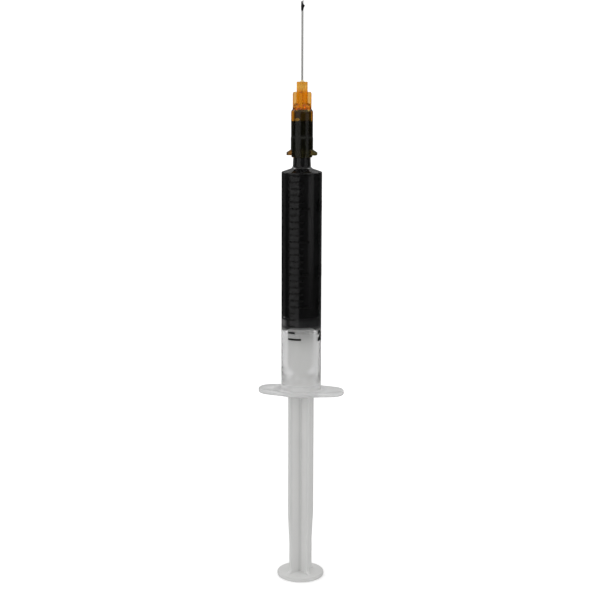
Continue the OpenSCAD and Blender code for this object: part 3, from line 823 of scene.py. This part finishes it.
def fin_reach():
    """Heights and fin radii of the rod: a flared foot, a taper, the waist with its rounded corners
    and the front stretch, as an (n, 2) array of radius and height."""
    waist_r, waist_z, waist_half = 2.2, ROD_LEN - 13.1, 0.45
    front_r, rear_r = 2.4, 2.0
    front_stop = math.degrees(math.acos((waist_r - FIN_R + front_r) / front_r))
    rear_stop = math.degrees(math.acos((waist_r - FIN_R + rear_r) / rear_r))
    flare_r = 0.9
    rear_end, front_start = waist_z - waist_half - rear_r, waist_z + waist_half + front_r
    return path(
        (FIN_FOOT_R + flare_r, THUMB_T - 0.2),
        arc((FIN_FOOT_R + flare_r, THUMB_T + flare_r), flare_r, 268, 180, 8),
        *[(FIN_FOOT_R, THUMB_T + z) for z in (3.0, 5.0, 7.0, 8.1)],
        *[
            (FIN_FOOT_R + (FIN_R - FIN_FOOT_R) * share, THUMB_T + 8.4 + 8 * share)
            for share in (0.03, 0.15, 0.4, 0.6, 0.85, 0.97)
        ],
        upright(FIN_R, THUMB_T + 16.4, rear_end - 0.5, 10),
        arc((FIN_R - rear_r, rear_end), rear_r, 0, rear_stop, 12),
        arc((FIN_R - front_r, front_start), front_r, -front_stop, 0, 12),
        upright(FIN_R, front_start + 0.6, ROD_LEN - 0.9, 5),
    )


def turned_by(degrees):
    """Matrix that turns rows of points about Z."""
    angle = math.radians(degrees)
    return np.array([[math.cos(angle), math.sin(angle)], [-math.sin(angle), math.cos(angle)]])


def make_rod():
    """The plunger rod: fins lofted along their reach, joined with the thumb disc, head and stud."""
    stations = fin_reach()
    half, valley, corner = FIN_T / 2, 0.45, 0.22
    loops = []
    for radius, height in stations:
        upper = np.vstack((
            arc((half + valley, half + valley), valley, 225, 270, 5),
            np.column_stack((
                np.linspace(half + valley, radius - corner, 6)[1:-1], np.full(4, half)
            )),
            arc((radius - corner, half - corner), corner, 90, 0, 4),
        ))
        fin = np.vstack((upper * (1, -1), upper[::-1]))[:-1]
        ring = np.vstack([fin @ turned_by(turn) for turn in (45, 135, 225, 315)])
        loops.append(np.column_stack((ring, np.full(len(ring), height))))
    points = np.array(loops)
    ends = [(0, 0, points[0, 0, 2]), (0, 0, points[-1, 0, 2])]
    fins = piece("rod_fins_part", [grid_mesh(points, poles=ends)], 40)
    rim = 0.4
    disc = turned(path(
        (0, 0.0), (4.8, 0.0), (4.95, 0.02), (THUMB_R - rim - 0.35, 0.02),
        arc((THUMB_R - rim, rim), rim, -90, 0, 6),
        arc((THUMB_R - rim, THUMB_T - rim), rim, 0, 90, 6),
        (3.0, THUMB_T + 0.02), (0, THUMB_T + 0.05),
    ), 160)
    head_r, head_t, edge = 4.05, 1.0, 0.12
    stud = turned(path(
        (0, ROD_LEN - head_t),
        arc((head_r - edge, ROD_LEN - head_t + edge), edge, -90, 0, 3),
        arc((head_r - edge, ROD_LEN - edge), edge, 0, 90, 3),
        (1.3, ROD_LEN), (1.3, ROD_LEN + 1.4), (2.0, ROD_LEN + 1.4), (2.0, ROD_LEN + 1.9),
        (0.9, ROD_LEN + 3.0), (0, ROD_LEN + 3.0),
    ), 128)
    whole = piece("plunger", [disc], 40)
    for name, part in (("fins", fins), ("stud", piece("rod_stud_part", [stud], 40))):
        union = whole.modifiers.new(name, "BOOLEAN")
        union.operation = "UNION"
        union.solver = "EXACT"
        union.object = part
    merged = final_mesh(whole)
    whole.modifiers.clear()
    whole.data = merged
    for part_name in ("rod_fins_part", "rod_stud_part"):
        bpy.data.objects.remove(bpy.data.objects[part_name])
    whole.data.shade_smooth()
    whole.data.set_sharp_from_angle(angle=math.radians(32))
    dress(whole, NATURAL, "plunger", "natural_polypropylene", "plunger_rod")


make_rod()


# The needle hub. Its cavity sits a little off centre, so that one wall looks thinner.
def shift_cavity(points):
    """Moves the points of the cavity's rings towards the camera's right."""
    radius = np.linalg.norm(points[..., :2], axis=-1)
    moved = np.abs(radius - CAVITY_R) < 0.05
    turn = math.radians(CAMERA_AZIMUTH)
    shift = CAVITY_SHIFT * np.array([math.cos(turn), math.sin(turn), 0])
    return points + moved[..., None] * shift


def hub_angles():
    """Angles round the hub, in degrees: close together at the ribs' and lugs' sides."""
    near = np.concatenate((np.arange(0, 36, 1.0), np.arange(36, 68, 2.0), np.arange(68, 90, 1.0)))
    half = np.unique(np.round(np.concatenate((near, [90.0], 180 - near)), 3))
    half = half[half < 180]
    return np.radians(np.concatenate((half, half + 180)))


def plate_reach(angles, half_thickness, length):
    """Polar reach of a plate along X: its end face near X, and its flat sides beyond."""
    side = half_thickness / np.maximum(np.abs(np.sin(angles)), 1e-6)
    end = length / np.maximum(np.abs(np.cos(angles)), 1e-6)
    return np.minimum(side, end)


def make_hub():
    """The hub as one closed loop of rings. Each outer ring is the largest of the round body or
    stem, the four stem ribs and the two lugs, seen from the axis. The body's top is a dome: an arc,
    and then a quarter of an ellipse in to the stem."""
    angles = hub_angles()
    rib_end = HUB_END_Z - 2.5
    edge, dome_h, rib_round = 0.9, 1.5, 0.45
    band_r, band_z = HUB_R + HUB_BAND_H, HUB_Z + HUB_BAND_END
    shoulder = arc((HUB_R - edge, HUB_BODY_END_Z - edge), edge, 10, 58, 5)
    dome_r, dome_z = shoulder[-1]
    dome_turn = np.radians((15, 30, 45, 60, 75, 90))
    rib_turn = np.radians((20, 40, 55, 68, 78, 86, 90))
    stations = path(
        (HUB_R - 0.12, HUB_Z), (HUB_R - 0.12, LUG_Z - 0.02),
        (band_r - 0.04, LUG_Z), (band_r, LUG_Z + 0.05),
        upright(band_r, LUG_Z + 0.12, LUG_Z + 1.5, 14),
        upright(band_r, LUG_Z + 1.8, band_z - 0.06, 4),
        (HUB_R + HUB_BAND_H * 0.6, band_z), (HUB_R, band_z + 0.04),
        upright(HUB_R, band_z + 1.0, HUB_BODY_END_Z - edge, 6),
        shoulder,
        *[(STEM_R + (dome_r - STEM_R) * math.cos(a), dome_z + dome_h * math.sin(a)) for a in dome_turn],
        upright(STEM_R, dome_z + dome_h + 0.3, rib_end - rib_round, 4),
        *[(STEM_R, rib_end - rib_round + rib_round * math.sin(a)) for a in rib_turn],
        (STEM_R, rib_end + 0.02), (STEM_R, rib_end + 1.0), (STEM_R, HUB_END_Z - 0.15),
    )
    lug_edge, past_lugs = 0.05, 9.0
    outer = []
    for radius, height in stations:
        reach = np.full(len(angles), radius)
        lug_up = height - LUG_Z
        if 0 <= lug_up < LUG_TIP_T + LUG_SLOPE_H:
            drop = max(lug_up - LUG_TIP_T, 0) / LUG_SLOPE_H
            lug_reach = LUG_R - (LUG_R - HUB_R) * drop - (lug_edge if lug_up < lug_edge else 0)
            lug = np.minimum(plate_reach(angles, LUG_HALF_W, past_lugs), lug_reach)
            reach = smooth_max(reach, lug, 0.12)
        if HUB_BODY_END_Z - edge < height <= rib_end:
            drop = max(height - (rib_end - rib_round), 0) / rib_round
            rib_reach = STEM_RIB_R - rib_round * (1 - math.sqrt(max(1 - drop ** 2, 0)))
            for turn in (0, math.pi / 2):
                rib = plate_reach(angles + turn, STEM_RIB_HALF_T, rib_reach)
                reach = smooth_max(reach, rib, 0.08)
        outer.append(polar(reach, angles, height))
    hole_r, lip_r, well_r, cone_h = CANNULA_R + 0.01, 0.15, 0.85, 1.3
    inner = path(
        arc((STEM_R - lip_r, HUB_END_Z - lip_r), lip_r, 20, 90, 4),
        (well_r + 0.07, HUB_END_Z), (well_r, HUB_END_Z - 0.08), (well_r, WELL_Z),
        (hole_r, WELL_Z - 0.05),
        (hole_r, CAVITY_END_Z + cone_h), (CAVITY_R, CAVITY_END_Z), (CAVITY_R, SOCKET_END_Z),
        (luer_r(SOCKET_END_Z) + SOCKET_GAP, SOCKET_END_Z),
        (luer_r(HUB_Z + 4) + SOCKET_GAP, HUB_Z + 4),
        (luer_r(HUB_Z) + SOCKET_GAP, HUB_Z + 0.1), (luer_r(HUB_Z) + 0.1, HUB_Z),
    )
    points = np.concatenate((np.array(outer), shift_cavity(rings(inner, angles))))
    thing = piece("hub_shell", [grid_mesh(points, closed_rows=True)], 38)
    dress(thing, AMBER, "needle", "amber_polypropylene", "needle_hub")


make_hub()


def make_hub_epoxy():
    """The epoxy in the hub: a plug with a flat top just below the cavity's end, and a thin film
    that has crept down round the luer tip, so that the socket looks black. A bubble, a small
    ellipsoid bent round the plug, sits low in the cavity; its pale skin is a painted reflection."""
    level_z = CAVITY_END_Z - 0.5
    outer_gap = SOCKET_GAP + WET
    profile = path(
        (0, LUER_END_Z + 0.03),
        (LUER_TIP_R - 0.1, LUER_END_Z + 0.03),
        (luer_r(LUER_END_Z) - 0.01, LUER_END_Z - 0.1),
        (luer_r(HUB_Z) - 0.02, HUB_Z + 0.1),
        (luer_r(HUB_Z) + outer_gap, HUB_Z + 0.13),
        (luer_r(SOCKET_END_Z) + outer_gap, SOCKET_END_Z + WET),
        (CAVITY_R + WET, SOCKET_END_Z + WET),
        (CAVITY_R + WET, level_z),
        (0, level_z),
    )
    vertices, faces = turned(profile)
    fill = piece("epoxy_in_hub", [(shift_cavity(vertices), faces)])
    dress(fill, EPOXY, "needle", "black_epoxy", "hub_epoxy")
    around = full_turn(32)[None, :]
    up = np.linspace(-1, 1, 13)[1:-1, None]
    width = np.sqrt(1 - up ** 2)
    middle = math.radians(CAMERA_AZIMUTH - 90 - 52)
    place = middle + 0.5 * width * np.cos(around)
    radius = CAVITY_R + 0.05 * width * np.sin(around)
    height = SOCKET_END_Z + 0.4 + 0.45 * up + 0.12 * width * np.cos(around)
    points = polar(radius, place, height)
    pole = CAVITY_R * np.array([math.cos(middle), math.sin(middle)])
    ends = [(*pole, SOCKET_END_Z - 0.05), (*pole, SOCKET_END_Z + 0.85)]
    vertices, faces = grid_mesh(points, poles=ends)
    dress(piece("hub_bubble", [(shift_cavity(vertices), faces)]), BUBBLE_REFLECTION, "needle", "black_epoxy")


make_hub_epoxy()


# The cannula, its adhesive and the bead
def make_cannula():
    """A tube whose top ring follows a slanted plane, highest on +X: the ground point."""
    sides = 48
    angles = full_turn(sides)
    bore_r, bevel = 0.13, 1.5
    heights = np.array([CANNULA_Z, HUB_END_Z, HUB_END_Z + 6, HUB_END_Z + 12, CANNULA_END_Z - 2.2])

    def slanted(radius):
        """The ring of the ground face at a radius."""
        across = CANNULA_R - radius * np.cos(angles)
        return polar(radius, angles, CANNULA_END_Z - bevel * across / (2 * CANNULA_R))

    loop = [polar(CANNULA_R, angles, z) for z in heights]
    loop += [slanted(CANNULA_R), slanted(bore_r)]
    loop += [polar(bore_r, angles, z) for z in heights[::-1]]
    thing = piece("cannula_tube", [grid_mesh(np.array(loop), closed_rows=True)], 30)
    dress(thing, STEEL, "needle", "stainless_steel", "needle_cannula")


def make_adhesive():
    """The adhesive in the hub's well: domed, and drawn up round the cannula in a meniscus."""
    start, fill_r, rise = CANNULA_R + 0.01, 0.84, 0.42
    climb = np.linspace(0, 1, 9)
    top = np.column_stack((
        fill_r - (fill_r - start) * climb, HUB_END_Z - 0.02 + rise * climb ** 2.5
    ))
    profile = path((start, WELL_Z + 0.02), (fill_r, WELL_Z + 0.02), top)
    thing = piece("adhesive_fillet", [turned(profile, 96)])
    dress(thing, ADHESIVE, "needle", "clear_adhesive", "hub_adhesive")


def make_bead():
    """Dried epoxy round the needle's point: a thin coat whose radius swells in two waves, with a
    lump round it and a droplet on the +X side, closed at both poles."""
    bead_z = CANNULA_END_Z - 1.75
    turn = full_turn(64)[None, :]
    up = np.linspace(0, math.pi, 42)[1:-1, None]
    swell = 1 + 0.16 * np.sin(2.3 * turn + 2.1 * up) * np.sin(up) + 0.1 * np.cos(3 * turn - 4 * up)
    from_right = np.abs(turn - math.pi) - math.pi
    lump = np.exp(-((up - 1.62) / 0.42) ** 2)
    right = np.exp(-((up - 1.74) / 0.24) ** 2) * np.exp(-(from_right / 0.6) ** 2)
    radius = (0.3 * np.sin(up) ** 0.4 + 0.09 * lump) * swell + 0.24 * right
    x = radius * np.cos(turn) - 0.04
    y = radius * np.sin(turn)
    z = bead_z - 1.32 * np.cos(up) * np.ones_like(turn)
    points = np.stack((x, y, z), axis=-1)
    ends = [(-0.05, 0, bead_z - 1.34), (-0.02, 0, bead_z + 1.34)]
    thing = piece("dried_bead", [grid_mesh(points, poles=ends)], 60)
    dress(thing, DRIED, "needle", "dried_epoxy", "epoxy_bead")


make_cannula()
make_adhesive()
make_bead()


# The printed scale
TICK_START_DEG = -32
SHORT_END_DEG, LONG_END_DEG = 14, 33
EXTRA_SHORT_END_DEG, EXTRA_LONG_END_DEG = -9.5, 8.5
TICK_W, INK_T, INK_SUNK = 0.5, 0.03, 0.005
NUMERAL_START_DEG = 64.5
NUMERAL_H = 2.85
NUMERAL_LIFT = 0.58


def on_barrel(along_deg, height, lift):
    """Points on the barrel: the angle is counted from -Y towards +X."""
    return polar(BARREL_R + lift, np.radians(along_deg) - math.pi / 2, height)


def tick_mesh(index):
    """One printed line: a thin curved bar, its corners a little rounded, as rings of four points."""
    is_long = index % TICKS_PER_LONG == 0
    if index <= NOMINAL_TICKS:
        end = LONG_END_DEG if is_long else SHORT_END_DEG
    else:
        end = EXTRA_LONG_END_DEG if is_long else EXTRA_SHORT_END_DEG
    corner = 0.1
    corner_deg = math.degrees(corner / BARREL_R)
    ease = corner_deg * np.array([0, 0.15, 0.5, 1])
    along = np.concatenate((
        TICK_START_DEG + ease, np.linspace(TICK_START_DEG, end, 26)[1:-1], end - ease[::-1]
    ))
    near = np.minimum(along - TICK_START_DEG, end - along) / corner_deg
    half = TICK_W / 2 - corner * (1 - np.sqrt(1 - (1 - np.clip(near, 0, 1)) ** 2))
    z = ZERO_Z - index * TICK_PITCH
    sections = [
        on_barrel(along, z - half, -INK_SUNK), on_barrel(along, z + half, -INK_SUNK),
        on_barrel(along, z + half * 0.92, INK_T), on_barrel(along, z - half * 0.92, INK_T),
    ]
    points = np.stack(sections, axis=1)
    return grid_mesh(points, poles=[points[0].mean(0), points[-1].mean(0)])


def numeral(text, index):
    """Plain digits beside a long line, in Blender's own typeface, wrapped onto the barrel."""
    curve = bpy.data.curves.new("digits", "FONT")
    curve.body = text
    curve.size = 1.0
    curve.offset = 0.05  # makes the strokes bolder
    curve.extrude = 0.5
    curve.resolution_u = 6
    flat = in_scene("digits", curve)
    mesh = final_mesh(flat)
    bpy.data.objects.remove(flat)
    flat_points = np.empty(len(mesh.vertices) * 3)
    mesh.vertices.foreach_get("co", flat_points)
    x, y, depth = flat_points.reshape(-1, 3).T
    scale = NUMERAL_H / (y.max() - y.min())
    narrower = 0.86
    along = NUMERAL_START_DEG + np.degrees((x - x.min()) * scale * narrower / BARREL_R)
    middle_z = ZERO_Z - index * TICK_PITCH + NUMERAL_LIFT
    z = middle_z + (y - (y.min() + y.max()) / 2) * scale
    lift = np.where(depth > 0, INK_T, -INK_SUNK)
    faces = [tuple(polygon.vertices) for polygon in mesh.polygons]
    bpy.data.meshes.remove(mesh)
    return on_barrel(along, z, lift), faces


def make_scale():
    """The scale: 26 lines, and a numeral at every long one but the first. Ten lines make 1 ml."""
    meshes = [tick_mesh(index) for index in range(SCALE_TICKS + 1)]
    for index in range(TICKS_PER_LONG, SCALE_TICKS + 1, TICKS_PER_LONG):
        whole, half = divmod(index, 10)
        meshes.append(numeral(f"{whole}.5" if half else f"{whole}", index))
    dress(piece("printed_scale", meshes, 30), INK, "barrel", "black_ink", "scale_marks")


make_scale()


# The floor, the light and the camera
def backdrop_paper(tree):
    """Matt white paper, lit so evenly that it seems to glow a little."""
    diffuse = add_node(tree, "ShaderNodeBsdfDiffuse", {"Color": linear("#F4F4F4")})
    glow = add_node(tree, "ShaderNodeEmission", {"Color": (1, 1, 1, 1), "Strength": 0.22})
    return {"Surface": add_node(tree, "ShaderNodeAddShader", {0: diffuse, 1: glow})}


def make_floor():
    """A wide pale floor that fades into the backdrop."""
    size = 6000  # mm
    corners = [(-size, -size, 0), (size, -size, 0), (size, size, 0), (-size, size, 0)]
    thing = piece("floor", [(np.array(corners, float), [(0, 1, 2, 3)])])
    thing.data.materials.append(made(backdrop_paper))
    thing.visible_glossy = False
    thing.visible_transmission = False


def make_camera():
    """The camera stands in front, a little to the right of the wings' middle plane, above the
    syringe's middle and looking down."""
    turn = math.radians(CAMERA_AZIMUTH)
    data = bpy.data.cameras.new("camera")
    data.sensor_width = SENSOR_MM
    data.lens = FOCAL_PX / IMAGE_PX * SENSOR_MM
    data.clip_start = 0.01
    data.clip_end = 100
    thing = in_scene("camera", data)
    right = Vector((math.cos(turn), math.sin(turn), 0))
    back = Vector((math.sin(turn), -math.cos(turn), 0))
    place = (back * CAMERA_DISTANCE + right * CAMERA_ASIDE + Vector((0, 0, CAMERA_HEIGHT))) * MM
    look = Matrix.Rotation(turn, 4, "Z") @ Matrix.Rotation(math.radians(90 - CAMERA_PITCH), 4, "X")
    roll = Matrix.Rotation(math.radians(CAMERA_ROLL), 4, "Z")
    thing.matrix_world = Matrix.Translation(place) @ look @ roll
    bpy.context.scene.camera = thing


def make_world():
    """Even studio light with tall soft boxes, given by direction. The camera sees white, mirrored
    rays see the boxes and the sky, and rays through the plastic see white with dim flanks."""
    world = bpy.data.worlds.new("studio")
    world.use_nodes = True
    tree = world.node_tree
    tree.nodes.clear()
    direction = add_node(tree, "ShaderNodeTexCoord").outputs["Generated"]
    up = add_node(tree, "ShaderNodeSeparateXYZ", {0: direction}).outputs["Z"]
    turn = math.radians(CAMERA_AZIMUTH)
    right, front = [
        add_node(
            tree, "ShaderNodeVectorMath", {0: direction, 1: level}, operation="DOT_PRODUCT"
        ).outputs["Value"]
        for level in ((math.cos(turn), math.sin(turn), 0), (math.sin(turn), -math.cos(turn), 0))
    ]
    # Azimuth of a direction in degrees, 0 towards the camera and positive to its right
    azimuth = add_node(tree, "ShaderNodeMath", {0: right, 1: front}, operation="ARCTAN2")
    azimuth = all_of(tree, azimuth, 180 / math.pi)

    def box_light(start, stop, soft, strength):
        """A soft box between two azimuths, with edges soft degrees wide."""
        edges = [
            add_node(tree, "ShaderNodeMapRange", {
                "Value": azimuth, "From Min": edge - soft, "From Max": edge + soft,
                "To Min": before, "To Max": after,
            }, interpolation_type="SMOOTHSTEP")
            for edge, before, after in ((start, 0.0, 1.0), (stop, 1.0, 0.0))
        ]
        return all_of(tree, *edges, strength)

    above_flange = add_node(tree, "ShaderNodeMapRange", {
        "Value": up, "From Min": -0.168, "From Max": -0.15,
    }, interpolation_type="SMOOTHSTEP")
    boxes = sum_of(
        tree, box_light(-74, -15, 5, 0.5), box_light(-130, -107, 6, 0.1),
        all_of(tree, box_light(38, 72, 5, 0.38), above_flange), box_light(125, 165, 10, 0.08),
    )
    sky = add_node(tree, "ShaderNodeMapRange", {
        "Value": up, "From Min": 0.05, "From Max": 0.6, "To Min": 0.01, "To Max": 0.5,
    }, interpolation_type="SMOOTHSTEP")
    brighter = add_node(tree, "ShaderNodeMath", {0: boxes, 1: sky}, operation="MAXIMUM")
    flanks = sum_of(
        tree, box_light(-128, -92, 6, -0.78), box_light(134, 173, 8, -0.5),
        box_light(92, 112, 4, -0.6), 1.15,
    )
    room = sum_of(tree, all_of(tree, right, -0.2), 1.0)
    seen = add_node(tree, "ShaderNodeBackground", {"Color": room})
    rays = add_node(tree, "ShaderNodeLightPath").outputs
    for ray, light, strength in (
        ("Is Glossy Ray", brighter, 1.0),
        ("Is Transmission Ray", flanks, 1.0),
        ("Is Camera Ray", (1, 1, 1, 1), 1.1),
    ):
        background = add_node(tree, "ShaderNodeBackground", {"Color": light, "Strength": strength})
        seen = add_node(tree, "ShaderNodeMixShader", {0: rays[ray], 1: seen, 2: background})
    add_node(tree, "ShaderNodeOutputWorld", {"Surface": seen})
    bpy.context.scene.world = world


make_floor()
make_camera()
make_world()
bpy.context.scene.view_settings.view_transform = "Standard"
